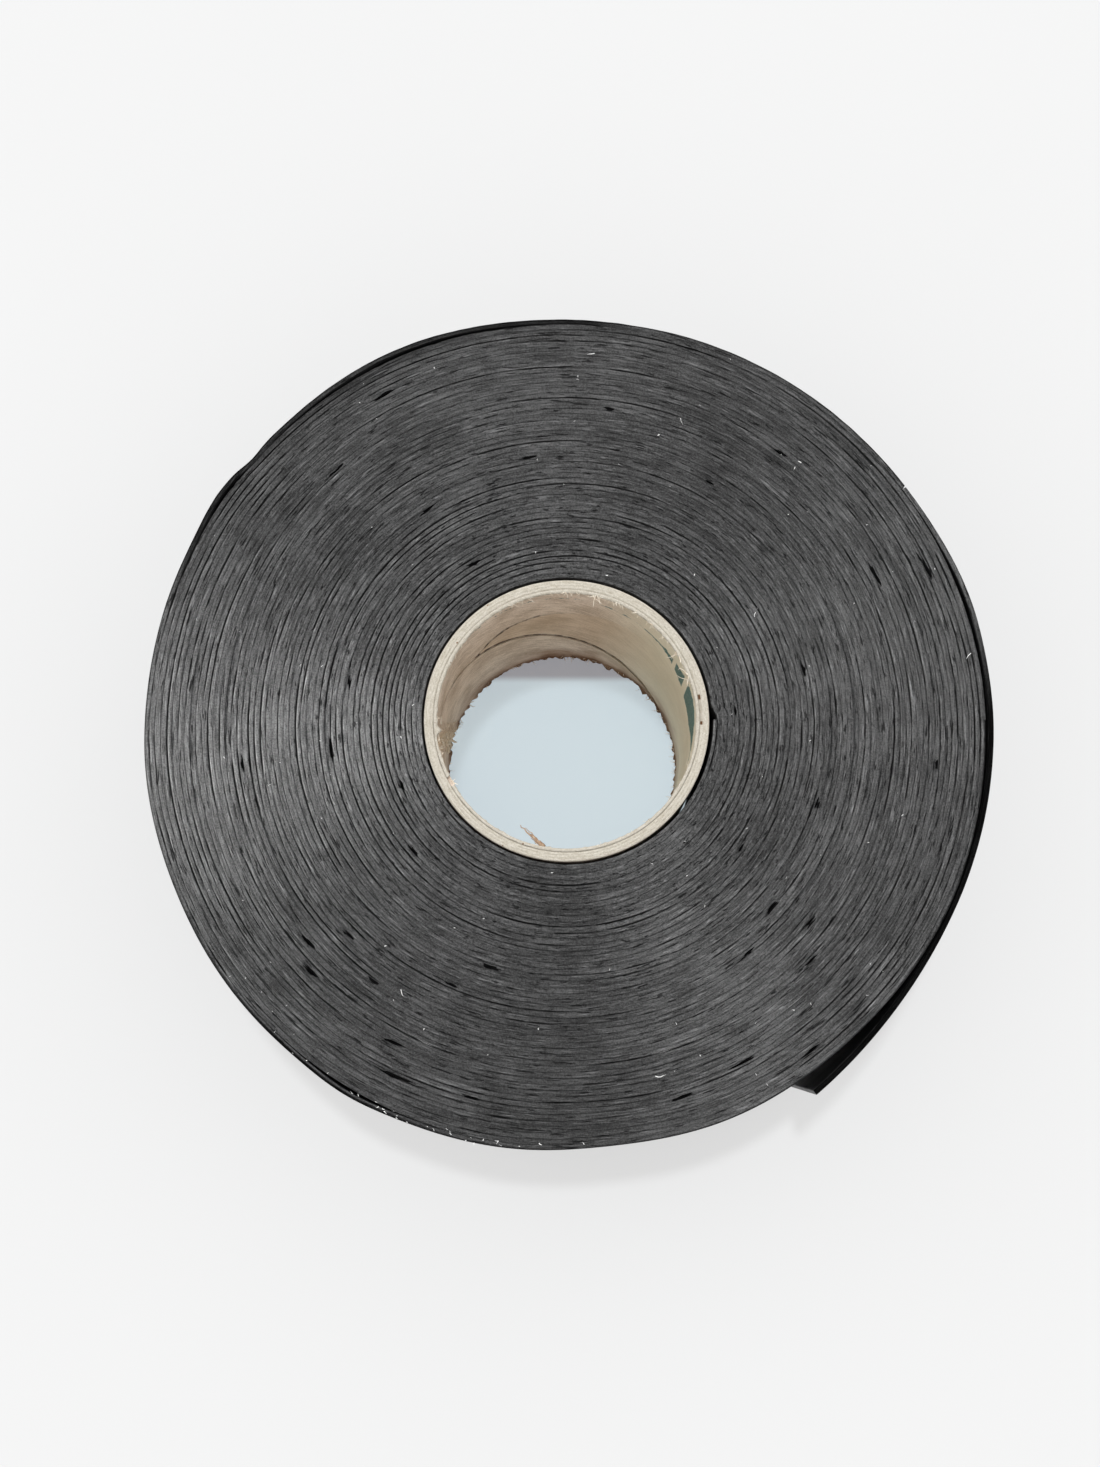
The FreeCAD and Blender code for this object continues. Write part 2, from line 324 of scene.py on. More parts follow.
def slit_edge_material():
    """The cut edges of the tape: dusty dark grey rubber, dragged and torn a little by the blade."""
    material, n = new_material("tape_slit_edge")
    place, x, y, z = n.place()
    tone, nick = n.attribute("tone"), n.attribute("nick")
    streaks = n.noise(around(n, x, y, 5.0, 0.27), 1.0, 3.0, 0.6)
    threads = n.noise(around(n, x, y, 2.0, 0.17), 1.0, 3.0, 0.65)
    strokes = n.noise(around(n, x, y, 2.6, 0.32), 1.0, 2.0, 0.55)
    grain = n.noise(place, 3.6, 4.0, 0.85)
    blotches = n.noise(place, 0.16, 3.0, 0.6)
    value = n.weighted((streaks, 0.55), (threads, 0.50), (grain, 1.70), (blotches, 0.40))
    level = n.ramp(value, 1.35, 1.82)
    grey = n.mix(level, (0.0040, 0.0040, 0.0041, 1), (0.060, 0.060, 0.0605, 1))
    # bright drag marks, and dark gashes: random dark strokes, and painted shade in the hollow of each nick
    drag = n.product(n.ramp(threads, 0.54, 0.68), n.ramp(streaks, 0.44, 0.60), 0.65)
    grey = n.mix(drag, grey, (0.150, 0.150, 0.152, 1))
    gashes_and_nick_shade = n.plus(nick, n.swing(strokes, 2.2))
    gashes_and_nick_shade = n.product(n.ramp(gashes_and_nick_shade, 0.30, 0.48), n.ramp(nick, 0.03, 0.12))
    gashes_and_nick_shade = n.math("MAXIMUM", gashes_and_nick_shade, n.product(n.ramp(strokes, 0.61, 0.68), 0.8))
    # the tone attribute brings the edge's uneven tone with painted sheen, and painted shade by the gaps
    # between turns
    grey = n.mix(1.0, grey, n.vector(tone, tone, tone), blend="MULTIPLY")
    grey = n.mix(gashes_and_nick_shade, grey, (0.0035, 0.0035, 0.0036, 1))
    shine = n.product(n.minus(1.0, gashes_and_nick_shade), tone, 0.50)
    n.surface(grey, n.mix_number(level, 0.50, 0.60), shine)
    # the blade's marks run round the roll, so the sheen spreads across them
    tangent = n.add("ShaderNodeTangent", direction_type="RADIAL", axis="Z").outputs[0]
    n.fill(n.shader, {"Anisotropic": 0.9, "Anisotropic Rotation": 0.25, "Tangent": tangent})
    relief = n.weighted((grain, 0.5), (threads, 1.0), (streaks, 0.5))
    n.bump(n.minus(relief, gashes_and_nick_shade), 0.00017, 0.9)
    return material


def tape_face_material():
    """The tape's smooth faces: black rubber with a low sheen and faint calender lines round the roll."""
    material, n = new_material("tape_black_face")
    place, x, y, z = n.place()
    lines = n.noise(n.vector(n.product(x, 0.02), n.product(y, 0.02), z), 2.4, 3.0, 0.6)
    grain = n.noise(place, 5.0, 2.0, 0.6)
    smears = n.noise(place, 0.12, 3.0, 0.55)
    scuffs = n.ramp(n.noise(n.vector(x, y, n.product(z, 0.35)), 0.5, 4.0, 0.65), 0.52, 0.78)
    value = n.weighted((smears, 0.7), (lines, 0.3))
    black = n.mix(n.ramp(value, 0.35, 0.7), (0.0050, 0.0050, 0.0053, 1), (0.011, 0.011, 0.0115, 1))
    rough = n.plus(n.mix_number(n.ramp(value, 0.3, 0.75), 0.40, 0.58), n.product(scuffs, 0.12))
    n.surface(n.mix(scuffs, black, (0.020, 0.020, 0.021, 1)), rough, 0.3)
    n.bump(n.weighted((lines, 0.8), (grain, 0.3)), 0.00008, 0.6)
    return material


def helix_angle(z):
    """Angle of the inner ply's seam at a height, counter-clockwise from +X, in degrees."""
    return SEAM_TURN + (z - SEAM_HEIGHT) / SEAM_CLIMB


def board_wall_material():
    """The core's bare inner wall: taupe kraft board with fibres along the ply and ink, painted shade at its
    foot and painted light on one side.
    """
    material, n = new_material("core_wall_board")
    place, x, y, z = n.place()
    turn = n.turn(x, y)
    grain = n.noise(place, 3.2, 3.0, 0.7)
    clouds = n.noise(place, 0.16, 3.0, 0.55)
    fibres = ply_fibres(n, turn, z)
    value = n.weighted((fibres, 0.5), (grain, 0.35), (clouds, 0.45))
    board = n.mix(n.ramp(value, 0.47, 0.82), (0.500, 0.385, 0.285, 1), (0.950, 0.815, 0.690, 1))
    # a greener side, paler as painted light: it faces the left lamp, which doesn't light the core
    painted_light_side = n.math("COSINE", n.product(n.minus(turn, 12.0), math.pi / 180))
    board = n.mix(n.product(n.ramp(painted_light_side, 0.35, 1.0), 0.75), board, (0.920, 0.885, 0.680, 1))
    board, crack = seam_marks(n, board, place, turn, z)
    # painted shade: darker towards the foot of the wall, deep in the bore
    foot = n.plus(z, n.swing(clouds, 9.0))
    board = n.mix(n.product(n.ramp(foot, 12.0, 0.0), 0.70), board, (0.260, 0.125, 0.055, 1))
    board = n.mix(n.product(n.ramp(foot, 3.2, 0.2), 0.75), board, (0.120, 0.050, 0.020, 1))
    # rough paler paper where a layer has peeled, from the mesh
    board = n.mix(n.product(n.attribute("torn"), n.ramp(grain, 0.3, 0.55)), board, (0.860, 0.700, 0.520, 1))
    cover = n.product(ink_blot(n, place, turn, z), n.mix_number(n.ramp(grain, 0.40, 0.60), 0.97, 0.80))
    board = n.mix(cover, board, (0.045, 0.150, 0.140, 1))
    n.surface(board, n.mix_number(grain, 0.78, 0.98), 0.2)
    n.bump(n.minus(n.weighted((fibres, 0.8), (grain, 0.5)), crack), 0.00016, 0.8)
    return material


def ply_fibres(n, turn, z):
    """A pattern drawn out along the inner ply, which climbs round the bore."""
    arc = n.product(turn, BORE * math.pi / 180)
    climb = SEAM_LEAD / (2 * math.pi * BORE)
    along = n.plus(arc, n.product(z, climb))
    across = n.minus(z, n.product(arc, climb))
    return n.noise(n.vector(n.product(along, 0.12), n.product(across, 1.3), 0.0), 1.6, 4.0, 0.65)


def seam_marks(n, board, place, turn, z):
    """Colour the seam, the edge of a layer that lifts beside it and the warmer wedge between the two.

    Gives the board's new colour, and a mask of the dark lines.
    """
    seam = n.plus(SEAM_HEIGHT, n.product(n.minus(turn, SEAM_TURN), SEAM_CLIMB))
    past = n.minus(FLAP_TURN, turn)
    lifted = n.minus(34.5, n.product(n.math("EXPONENT", n.math("DIVIDE", past, -18.0)), 5.5))
    wedge = n.product(
        n.ramp(n.minus(z, seam), 0.2, 0.5),
        n.ramp(n.minus(lifted, z), 0.0, 0.4),
        n.ramp(past, 0.0, 3.0),
        n.ramp(past, 100.0, 60.0),
        0.30,
    )
    board = n.mix(wedge, board, (0.700, 0.520, 0.330, 1))
    wander = n.swing(n.noise(place, 0.35, 2.0), 1.6)
    dashes = n.ramp(n.noise(n.vector(n.product(turn, 0.16), 7.0, 0.0), 1.0, 2.0), 0.44, 0.60)
    edge = n.math("ABSOLUTE", n.plus(n.minus(z, lifted), wander))
    edge = n.product(n.ramp(edge, 0.75, 0.25), n.plus(0.30, dashes), n.ramp(past, 0.0, 2.0))
    edge = n.product(edge, n.ramp(past, 60.0, 14.0))
    # the seam itself, shadowed between its lips
    lips = n.minus(z, n.plus(seam, 0.3))
    lips = n.math("ABSOLUTE", n.plus(lips, n.product(wander, 0.2)))
    shade = n.product(n.ramp(lips, 0.75, 0.30), n.plus(0.55, dashes), n.ramp(past, -3.0, 1.0))
    crack = n.math("MAXIMUM", edge, shade)
    return n.mix(n.math("MINIMUM", crack, 0.92), board, (0.060, 0.034, 0.018, 1)), crack


def ink_blot(n, place, turn, z):
    """Mask of a ragged blot of ink under the upper rim, with two gaps across it."""
    side = n.minus(turn, 7.0)
    spread = n.mix_number(n.math("GREATER_THAN", side, 0.0), 12.5, 24.0)
    swell = n.math("POWER", n.math("DIVIDE", side, spread), 2.0)
    swell = n.minus(n.product(n.math("EXPONENT", n.product(swell, -1.0)), 6.0), 0.15)
    ragged = n.swing(n.noise(place, 0.8, 3.0, 0.7), 3.4)
    level = n.plus(38.9, n.product(side, 0.06))
    ink = n.ramp(n.minus(swell, n.plus(n.apart(z, level), ragged)), -0.25, 0.35)
    for gap_at, gap_width in ((31.0, 0.9), (20.0, 1.6)):
        ink = n.product(ink, n.ramp(n.apart(turn, gap_at), gap_width, gap_width + 0.7))
    return ink


def board_rim_material():
    """The core's cut rims: cream board, fuzzy, with the plies just showing."""
    material, n = new_material("core_rim_board")
    place, x, y, z = n.place()
    radius, turn = n.radius(x, y), n.turn(x, y)
    grain = n.noise(place, 4.2, 3.0, 0.7)
    streaks = n.noise(around(n, x, y, 2.4, 0.22), 1.0, 3.0, 0.6)
    value = n.weighted((grain, 0.55), (streaks, 0.45))
    cream = n.mix(n.ramp(value, 0.33, 0.66), (0.445, 0.398, 0.318, 1), (0.650, 0.604, 0.525, 1))
    # a darker line where two plies meet
    wobble = n.swing(n.noise(place, 0.5, 2.0), 0.25)
    depth = n.plus(n.minus(radius, BORE), wobble)
    line = n.ramp(n.apart(n.math("FRACT", n.math("DIVIDE", depth, PLY)), 0.5), 0.40, 0.5)
    cream = n.mix(n.product(line, 0.10), cream, (0.240, 0.180, 0.115, 1))
    # two brown marks at the ends of a joint in the second ply, on the upper rim
    joint = n.ramp(n.apart(radius, BORE + 1.5 * PLY), 0.24, 0.10)
    ends = n.weighted(
        (n.ramp(n.apart(turn, 9.7), 1.4, 0.7), 1.0),
        (n.ramp(n.apart(turn, -1.6), 1.0, 0.5), 1.0),
        (n.ramp(n.apart(turn, 4.0), 5.5, 4.5), 0.25),
    )
    mark = n.product(joint, n.math("MINIMUM", ends, 1.0), n.ramp(z, 30.0, 40.0))
    cream = n.mix(mark, cream, (0.110, 0.050, 0.022, 1))
    # painted shade: the rims are darker near the floor
    cream = n.mix(n.product(n.ramp(z, 3.0, 0.5), 0.8), cream, (0.230, 0.130, 0.065, 1))
    specks = n.ramp(n.noise(place, 0.9, 2.0, 0.7), 0.70, 0.74)
    n.surface(n.mix(specks, cream, (0.200, 0.110, 0.060, 1)), n.mix_number(grain, 0.8, 0.98), 0.2)
    n.bump(n.weighted((grain, 1.0), (streaks, 0.8)), 0.00012, 0.8)
    return material


def underply_shade_material():
    """The kraft behind the inner ply, seen through its seam: painted shade, dark brown for the shadow in
    the narrow gap.
    """
    material, n = new_material("core_underply_shade")
    grain = n.noise(n.place()[0], 1.4, 3.0, 0.6)
    colour = n.mix(grain, (0.030, 0.018, 0.010, 1), (0.090, 0.055, 0.030, 1))
    n.surface(colour, n.mix_number(grain, 0.6, 0.9), 0.2)
    n.bump(grain, 0.00008, 0.6)
    return material


def fibre_material(name, dark, light):
    """Paper fibres or lint: a pale thread with uneven colour."""
    material, n = new_material(name)
    grain = n.noise(n.place()[0], 1.7, 3.0, 0.6)
    n.surface(n.mix(n.ramp(grain, 0.3, 0.7), dark, light), n.mix_number(grain, 0.7, 0.95), 0.2)
    n.bump(grain, 0.00005, 0.6)
    return material


# -------- the windings


def half_step(bearing):
    """Share of a pitch that a two-centre spiral gains over its second half turn."""
    return np.where(bearing >= 180.0, 0.5 + 0.5 * np.cos(np.radians(bearing)), 0.0)


def path_radius(turn, bearing):
    """Radius of the tape's inner face about the bore's axis, on a turn counted from 0."""
    return START + (turn + half_step(bearing)) * PITCH


def unwound(turn, bearing):
    """Length of tape from its inner end."""
    angle = np.radians(turn * 360.0 + bearing)
    return START * angle + PITCH * angle**2 / (4 * math.pi)


# Height, bearing and half width in degrees: flats and bulges of the roll, and of its outermost turn.
KNOCKS = (
    (-0.75, 84.0, 11.0),
    (-0.30, 157.0, 12.0),
    (-0.20, 188.0, 9.0),
    (-0.45, 48.0, 14.0),
    (0.28, 213.5, 6.0),
    (0.36, 246.0, 17.0),
)
LOOSE_PLACES = ((0.42, 120.0, 6.5), (0.34, 213.5, 6.0), (-0.34, 220.0, 2.2), (0.42, 246.0, 17.0))


def lobe(bearing, middle, width):
    return bump(near(bearing, middle), 0, width)


def swells(bearing, places):
    return sum(height * lobe(bearing, middle, width) for height, middle, width in places)


def shape_of_roll(radius, bearing):
    """How far the windings stand out from the ideal spiral, because the roll has been knocked."""
    share = np.clip((radius - CORE) / (ROLL - CORE), 0, 1.05)
    off_centre = 0.80 * np.cos(np.radians(bearing - 105.0)) - 0.15
    return off_centre * share**1.6 + swells(bearing, KNOCKS) * share**6


def loose_wrap(bearing):
    """How far the outermost turn stands off the one below."""
    return swells(bearing, LOOSE_PLACES)


# Radius, bearing and length along the winding of the places where a slit edge is nicked.
NICKS = (
    (56.5, 241, 3.6), (51.1, 228, 2.6), (37.9, 237, 3.2), (32.4, 190, 1.8), (47.8, 172, 2.6),
    (34.7, 173, 3.4), (51.7, 308, 2.4), (47.8, 278, 2.0), (42.0, 301, 1.6), (50.8, 335, 3.0),
    (58.2, 337, 3.8), (24.8, 357, 1.4), (35.7, 348, 2.2), (54.5, 7, 1.6), (49.5, 139, 2.4),
    (44.5, 135, 2.6), (52.0, 135, 3.0), (29.5, 139, 2.2), (25.9, 158, 1.8), (47.2, 126, 2.4),
    (53.0, 118, 3.0), (57.1, 115, 4.2), (42.1, 113, 2.0), (37.8, 107, 2.0), (56.4, 104, 2.4),
    (38.6, 19, 2.2), (31.6, 37, 1.8), (40.5, 43, 2.4), (46.0, 40, 2.6), (43.0, 53, 4.0),
    (49.7, 45, 2.0), (55.7, 63, 4.6), (59.4, 54, 3.6), (57.0, 73, 3.6), (40.2, 262, 2.8),
    (27.2, 240, 2.0),
)


def nick_depth(radius, bearing):
    """From 0 to 1, where the slit edges have been nicked open."""
    depth = np.zeros(np.broadcast(radius, bearing).shape)
    for at_radius, at_bearing, length in NICKS:
        run = near(bearing, at_bearing) * math.pi / 180 * at_radius
        lean = 0.06 * run
        depth = np.maximum(depth, bump(run, 0, length * 0.45) * bump(radius - at_radius - lean, 0, 0.23))
    return depth


class Windings:
    """The face between one turn and the next, and how the slit edges sit, all along the strip."""

    def __init__(self, rng):
        length = float(unwound(TURNS + 2, 0.0))
        # the waves of 1.6 and 4.3 mm aren't used, and keep the random draws after them in order
        steps = (0.9, 1.6, 2.7, 4.3, 7.0, 12.0, 23.0, 39.0, 90.0)
        self.waves = {step: Wave(rng, length, step) for step in steps}
        self.other = {step: Wave(rng, length, step) for step in (1.3, 3.1, 6.0, 17.0, 31.0, 60.0)}

    def face(self, turn, bearing):
        """Radius of the tape's inner face."""
        at = unwound(turn, bearing)
        # near the core the tape lies on the turn below, and climbs over its inner end in a few degrees
        hug = (smooth((bearing - 353.5) / 6.5) - half_step(bearing)) * PITCH * np.exp(-turn / 3.0)
        base = path_radius(turn, bearing) + hug
        lump = 0.40 + 0.13 * np.cos(np.radians(bearing + 20.0))
        base = base + lump * np.exp(-(turn + bearing / 360.0) / 1.4)
        inside = smooth((TURNS - 1.5 - turn) / 2.0) * smooth(turn / 2.0)
        base = base + inside * (0.085 * self.waves[39.0](at) + 0.05 * self.waves[12.0](at))
        return base + shape_of_roll(base, bearing)

    def openness(self, turn, bearing):
        """From 0, where the turn is pressed to the next one, to 1, where a gap shows."""
        at = unwound(turn, bearing)
        w = self.waves
        value = 0.55 * w[23.0](at) + 0.5 * w[7.0](at) + 0.35 * w[2.7](at)
        value = value + 0.3 * w[0.9](at) + 0.35 * w[90.0](at)
        value = value + 0.36 * lobe(bearing, 180.0, 38.0) - 0.06 * lobe(bearing, 75.0, 50.0)
        value = value + 2.0 * (turn < 0)  # nothing presses on the innermost turn
        return smooth((value - 0.14) / 0.8)

    def height(self, turn, bearing):
        """How far the slit edge stands up."""
        at = unwound(turn, bearing)
        o = self.other
        return 0.075 * o[60.0](at) + 0.05 * o[17.0](at) + 0.035 * o[6.0](at) + 0.02 * o[1.3](at)

    def tone(self, turn, bearing):
        """Brightness of the slit edge: painted sheen in fans that face the lamps, painted shade in fans
        between, and uneven tone along the strip.
        """
        at = unwound(turn, bearing)
        o = self.other
        # painted sheen towards the left and front right lamps, painted shade at the front and the far side
        fans = ((0.62, 179.0, 23.0), (0.20, 57.0, 17.0), (-0.24, 93.0, 14.0), (-0.10, 300.0, 25.0))
        sheen = swells(bearing, fans)
        return 0.96 + sheen + 0.10 * o[31.0](at) + 0.10 * o[6.0](at) + 0.08 * o[3.1](at)


# Profile of a slit edge, from the outer face to the inner: share of the thickness and height.
EDGE_SHARES = np.array([1.0, 0.965, 0.84, 0.55, 0.22, 0.085, 0.0])
EDGE_HEIGHTS = np.array([-0.10, -0.03, 0.0, 0.02, 0.0, -0.045, -0.13])
EDGE_ROOM = 0.22


def tape_rings(rng, inner, outer, open_out, open_in, height, face_rows):
    """Radius and height of the rings of points of a stretch of tape, with its slit edges' openness.

    inner and outer are its faces' radii, open_out and open_in say where gaps show beside them.
    """
    steps, count = len(inner), len(EDGE_SHARES)
    wear = 0.45 + 0.9 * open_out[:, None] * EDGE_SHARES + 0.9 * open_in[:, None] * (1 - EDGE_SHARES)
    tear = rng.standard_normal((steps, count)) * np.array([0.3, 0.8, 1, 1, 1, 0.8, 0.3])
    tear = 0.022 * (tear + np.roll(tear, 1, 0) + np.roll(tear, 2, 0))
    # the lower edge is the upper one mirrored, with its waves and tears elsewhere
    worn = EDGE_HEIGHTS * wear
    top = WIDTH - EDGE_ROOM + height[:, None] + worn + tear
    bottom = EDGE_ROOM - 0.8 * height[::-1, None] - worn[:, ::-1] - np.roll(tear, 9, 0)
    rows = np.linspace(0, 1, face_rows + 2)[1:-1]
    outer_z = bottom[:, -1:] + (top[:, :1] - bottom[:, -1:]) * rows
    inner_z = top[:, -1:] + (bottom[:, :1] - top[:, -1:]) * rows
    z = np.concatenate([outer_z, top, inner_z, bottom], 1)
    share = np.concatenate([np.ones(face_rows), EDGE_SHARES, np.zeros(face_rows), EDGE_SHARES[::-1]])
    radius = inner[:, None] + (outer - inner)[:, None] * share
    return radius, z


def edge_columns(face_rows):
    """Which points of a ring lie on the upper slit edge, and the material index of each ring face."""
    count = len(EDGE_SHARES)
    top = slice(face_rows, face_rows + count)
    material = np.ones(2 * (face_rows + count), int)
    material[face_rows:face_rows + count - 1] = 0
    material[2 * face_rows + count:-1] = 0
    return top, material


def edge_tones(tone, open_out, open_in, face_rows):
    """Tones of the rings: 1 on a slit edge, with painted shade towards an open gap and a painted highlight
    on the lip beside it.
    """
    # painted shade: the edge darkens towards a gap between turns
    gap_shade_out = np.array([1.0, 0.55, 0.0, 0.0, 0.0, 0.0, 0.0])
    gap_shade_in = np.array([0.0, 0.0, 0.0, 0.0, 0.0, 0.65, 1.0])
    dark = gap_shade_out * (0.08 + 0.80 * open_out[:, None]) + gap_shade_in * (0.12 + 0.88 * open_in[:, None])
    # painted highlight: beside a gap the lip stands up and catches the light
    lip_highlight_out = np.array([0.0, 0.3, 1.0, 0.25, 0.0, 0.0, 0.0])
    lip_highlight_in = np.array([0.0, 0.0, 0.0, 0.1, 0.6, 0.2, 0.0])
    lips = lip_highlight_out * open_out[:, None] + lip_highlight_in * open_in[:, None]
    edge = tone[:, None] * (1 - 0.93 * np.clip(dark, 0, 1)) * (0.96 + 0.45 * lips)
    face = np.repeat(tone[:, None], face_rows, 1)
    return np.concatenate([face, edge, face, edge[:, ::-1]], 1)


def wound_band(rng, windings, first, last, materials):
    """A detailed mesh of some whole turns."""
    arc = np.arange(0.0, (last - first) * 360.0 + 0.01, 0.75)
    turn = np.minimum(first + np.floor(arc / 360.0), last - 1.0)
    bearing = arc - (turn - first) * 360.0
    open_out, open_in = windings.openness(turn, bearing), windings.openness(turn - 1, bearing)
    inner, after = windings.face(turn, bearing), windings.face(turn + 1, bearing)
    outer = after - 0.012 - 0.085 * open_out
    radius, z = tape_rings(rng, inner, outer, open_out, open_in, windings.height(turn, bearing), 0)
    # painted shade: where the last turns lie under the loose outer wrap they are darker
    shade_under_wrap = smooth((turn - (TURNS - 4)) / 3) * lobe(bearing, 238.0, 34.0)
    tones = edge_tones(windings.tone(turn, bearing) * (1 - 0.6 * shade_under_wrap), open_out, open_in, 0)
    nicks = nick_depth(radius, np.repeat(bearing[:, None], radius.shape[1], 1))
    top, material = edge_columns(0)
    z[:, top] -= nicks[:, top] * 0.5
    name = f"windings_{first + 1:02d}_{last:02d}"
    points = polar(radius, bearing[:, None], z)
    return add_object(name, tube_mesh(name, points, materials, material, {"tone": tones, "nick": nicks}))


OUTER_SPLIT = 325.0  # bearing at which the outer wrap's mesh ends and the tail's begins
FACE_ROWS = 22


def surface_ripple(rng):
    """Faint waves in the outer face of the outermost turn, as a function of arc and height."""
    waves = [(Wave(rng, 800.0, 9.0), Wave(rng, 60.0, 11.0), rng.uniform(0.5, 1.0)) for _ in range(5)]

    def ripple(bearing, z):
        return sum(a(bearing + 90.0) * b(z + 2.0) * size for a, b, size in waves) * 0.05

    return ripple


def outer_wrap_shift(bearing):
    """How far the outer wrap and the tail's root stand off the ideal spiral."""
    return shape_of_roll(path_radius(TURNS - 1, bearing % 360.0), bearing) + loose_wrap(bearing)


def outer_wrap(rng, windings, ripple, materials):
    bearing = np.arange(0.0, OUTER_SPLIT + 0.01, 0.5)
    turn = np.full(len(bearing), TURNS - 1.0)
    inner = windings.face(turn, bearing) + loose_wrap(bearing)
    open_in = np.maximum(windings.openness(turn - 1, bearing), smooth(loose_wrap(bearing) / 0.2))
    open_out = np.ones(len(bearing))
    height = windings.height(turn, bearing)
    radius, z = tape_rings(rng, inner, inner + TAPE, open_out, open_in, height, FACE_ROWS)
    # dusty where it faces up to the left and front, and near black from about 196 to 272 degrees, least so
    # at 240
    dusty = smooth((bearing - 52.0) / 10.0) * (1 - smooth((bearing - 196.0) / 12.0))
    dusty = dusty + smooth((bearing - 272.0) / 10.0)
    under_tail = 1 - smooth((bearing - 56.0) / 4.0)
    least_grey = 0.05 + 0.38 * lobe(bearing, 240.0, 30.0)
    grey = least_grey + (1 - least_grey) * np.maximum(dusty, under_tail)
    tones = edge_tones(windings.tone(turn, bearing) * grey, open_out, open_in, FACE_ROWS)
    top, material = edge_columns(FACE_ROWS)
    # painted shade: its rounded outer corner is darkened all round, most of all at the front, where the
    # roll's side is in shadow
    tones[:, top.start:top.start + 3] *= 0.25
    tones[:, top.start:top.start + 4] *= (1 - 0.92 * lobe(bearing, 128.0, 26.0))[:, None]
    radius = radius + ripple(bearing[:, None], z)
    points = polar(radius, bearing[:, None], z)
    nicks = nick_depth(radius, np.repeat(bearing[:, None], radius.shape[1], 1))
    mesh = tube_mesh("outer_wrap", points, materials, material, {"tone": tones, "nick": nicks})
    return add_object("outer_wrap", mesh)


# -------- the loose tail


def tail_path(arc):
    """Point and outward direction of the tail's inner face, at a bearing that runs on past the last turn.

    Past LIFT_START the bearing is the angle about the lifted stretch's own centre.
    """
    arc = np.asarray(arc, float)
    root = arc < 0
    lifted = arc > LIFT_START
    radius = np.where(root, START + (TURNS - 0.5) * PITCH, ROLL)
    radius = np.where(lifted, LIFT_RADIUS, radius)
    back = ROLL - LIFT_RADIUS
    start = math.radians(LIFT_START)
    centre_x = np.where(root, PITCH / 2, 0.0) + np.where(lifted, back * math.cos(start), 0.0)
    centre_y = np.where(lifted, -back * math.sin(start), 0.0)
    angle = np.radians(arc)
    direction = np.stack([np.cos(angle), -np.sin(angle)], -1)
    # the root follows the outer wrap's own shape, and eases into the ideal path
    follow = 1 - smooth((arc - (OUTER_SPLIT - 360.0)) / 22.0)
    radius = radius + follow * outer_wrap_shift(arc % 360.0)
    point = np.stack([centre_x, centre_y], -1) + direction * radius[:, None]
    return point, direction


LIFT_END = LIFT_START + LIFT_SPAN
LIFT_MIDDLE = LIFT_START + LIFT_SPAN / 2
SEGMENT_ENDS = [TAIL_ROOT, TAIL_ROOT / 2, 0.0, LIFT_START / 2, LIFT_START, LIFT_MIDDLE, LIFT_END]
END_SLANT = 2.2


def tail_piece(rng, ripple, number, materials):
    """The stretch of tail round a joint, from one segment's middle to the next one's."""
    hinge, after = SEGMENT_ENDS[number - 1], SEGMENT_ENDS[number]
    low = OUTER_SPLIT - 360.0 if number == 1 else (SEGMENT_ENDS[number - 2] + hinge) / 2
    high = after if number == SEGMENTS else (hinge + after) / 2
    steps = int((high - low) / 0.3) + 1
    arc = np.linspace(low, high, steps)
    face, direction = tail_path(arc)
    none, all_open = np.zeros(steps), np.ones(steps)
    offset, z = tape_rings(rng, none, none + TAPE, all_open, all_open, tail_height(arc), FACE_ROWS)
    offset = offset + ripple(arc[:, None], z)
    flat = face[:, None, :] + direction[:, None, :] * offset[..., None]
    if number == SEGMENTS:
        # the cut end slants, its lower corner standing back
        back = END_SLANT * (1 - z / WIDTH) * np.linspace(0, 1, steps)[:, None] ** 2
        tangent = np.stack([-np.sin(np.radians(arc)), -np.cos(np.radians(arc))], -1)
        flat = flat - tangent[:, None, :] * back[..., None]
    points = np.concatenate([flat, z[..., None]], -1)
    # the slit edge darkens to near black between bearings -20 and 0, and stays so to the tail's end
    grey = 0.85 - 0.81 * smooth((arc + 20.0) / 20.0)
    tones = edge_tones(grey, all_open, all_open, FACE_ROWS)
    material = edge_columns(FACE_ROWS)[1]
    name = f"tail_strip_{number}"
    mesh = tube_mesh(name, points, materials, material, {"tone": tones, "nick": np.zeros(tones.shape)})
    return add_object(name, mesh), low, high


def tail_height(arc):
    return 0.03 * np.sin(np.radians(arc * 3.1)) + 0.02 * np.sin(np.radians(arc * 11.0))


# -------- the paper core


